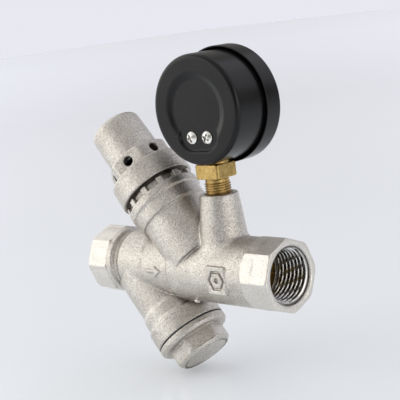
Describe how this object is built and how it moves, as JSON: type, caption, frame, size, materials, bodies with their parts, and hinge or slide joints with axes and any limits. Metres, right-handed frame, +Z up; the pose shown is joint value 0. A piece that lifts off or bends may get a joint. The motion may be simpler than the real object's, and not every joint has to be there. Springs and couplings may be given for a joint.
{
  "type": "pressure reducing valve",
  "caption": "Inclined in-line pressure reducing valve with octagonal threaded ports, vented spring bonnet, strainer leg with plug and a round pressure gauge on a boss.",
  "frame": {"origin": "centre of the inlet port's mouth, on the flow axis", "axes": "+X along the flow from the inlet to the outlet, +Z up along the gauge stub, +Y across the flow to the side that the dial faces"},
  "size_m": [0.0973, 0.0317, 0.1238],
  "materials": {
    "body_metal": "nickel plated brass, sand blasted",
    "machined_metal": "nickel plated brass, machined",
    "brass": "turned brass",
    "steel": "stainless steel",
    "spring_steel": "spring wire",
    "rubber": "moulded rubber",
    "black_case": "satin black",
    "screw_metal": "bright plated screws",
    "lens_glass": "clear window",
    "dial_white": "white enamel with scale",
    "pointer_black": "black lacquer",
    "plastic": "moulded acetal"
  },
  "bodies": {
    "root": {"valve_body": "body_metal", "bonnet": "body_metal", "strainer_plug": "body_metal", "plug_seal": "rubber", "main_spring": "spring_steel", "diaphragm": "rubber", "slip_ring": "plastic", "stem_guide": "brass", "stem_o_ring": "rubber", "seat_ring": "steel", "seat_o_ring": "rubber", "strainer_screen": "steel", "strainer_ring": "plastic", "check_cage": "brass", "check_spring": "spring_steel", "gauge_socket": "brass", "gauge_case": "black_case", "case_screws": "screw_metal", "gauge_bezel": "black_case", "gauge_lens": "lens_glass", "lens_gasket": "rubber", "dial": "dial_white", "dial_screws": "brass", "rear_plate": "brass", "front_plate": "brass", "plate_pillars": "brass", "pressure_tube": "brass", "tube_tip": "brass", "hairspring": "spring_steel"},
    "setting_cap": {"spring_cap": "brass"},
    "setting_screw": {"adjusting_screw": "machined_metal"},
    "stem_set": {"stem": "steel", "backing_washer": "brass", "spring_plate": "brass", "stem_nut": "steel", "obturator": "brass", "disc_seal": "rubber"},
    "poppet": {"check_poppet": "brass", "check_seal": "rubber"},
    "pointer_set": {"pointer": "pointer_black", "pinion_arbor": "brass"},
    "sector": {"sector_gear": "brass"},
    "link": {"link": "brass"}
  },
  "joints": [
    {"name": "setting_screw_turn", "type": "hinge", "parent": "setting_cap", "child": "setting_screw", "pos_m": [0.01647, 0, 0.04874], "axis": [-0.6481, 0, 0.7615], "range_deg": [-1082, 362]},
    {"name": "setting_cap_slide", "type": "slide", "parent": "root", "child": "setting_cap", "axis": [-0.6481, 0, 0.7615], "range_m": [-0.0045, 0.0015], "deforming": ["main_spring"]},
    {"name": "stem_lift", "type": "slide", "parent": "root", "child": "stem_set", "axis": [-0.6481, 0, 0.7615], "range_m": [0, 0.0023], "stiffness_N_per_m": 2000, "springref_m": -0.001, "deforming": ["main_spring", "diaphragm"]},
    {"name": "check_poppet_lift", "type": "slide", "parent": "root", "child": "poppet", "axis": [1, 0, 0], "range_m": [0, 0.0025], "stiffness_N_per_m": 60, "springref_m": -0.004, "deforming": ["check_spring"]},
    {"name": "pointer_turn", "type": "hinge", "parent": "root", "child": "pointer_set", "pos_m": [0.06581, 0.00799, 0.06045], "axis": [0.061, -0.9981, 0], "range_deg": [0, 270], "stiffness_Nm_per_rad": 0.00002, "springref_deg": -34.38, "deforming": ["hairspring", "pressure_tube", "tube_tip"]},
    {"name": "sector_turn", "type": "hinge", "parent": "root", "child": "sector", "pos_m": [0.06617, 0.0022, 0.05025], "axis": [0.061, -0.9981, 0], "range_deg": [-36.1, 0.1]},
    {"name": "link_turn", "type": "hinge", "parent": "sector", "child": "link", "pos_m": [0.06757, 0.00093, 0.04616], "axis": [0.061, -0.9981, 0], "range_deg": [-0.1, 36.1]}
  ],
  "couplings": [
    {"joint": "setting_screw_turn", "follows": "setting_cap_slide", "rad_per_m": 4188.8},
    {"joint": "sector_turn", "follows": "pointer_turn", "ratio": -0.13333},
    {"joint": "link_turn", "follows": "pointer_turn", "ratio": 0.13333}
  ]
}
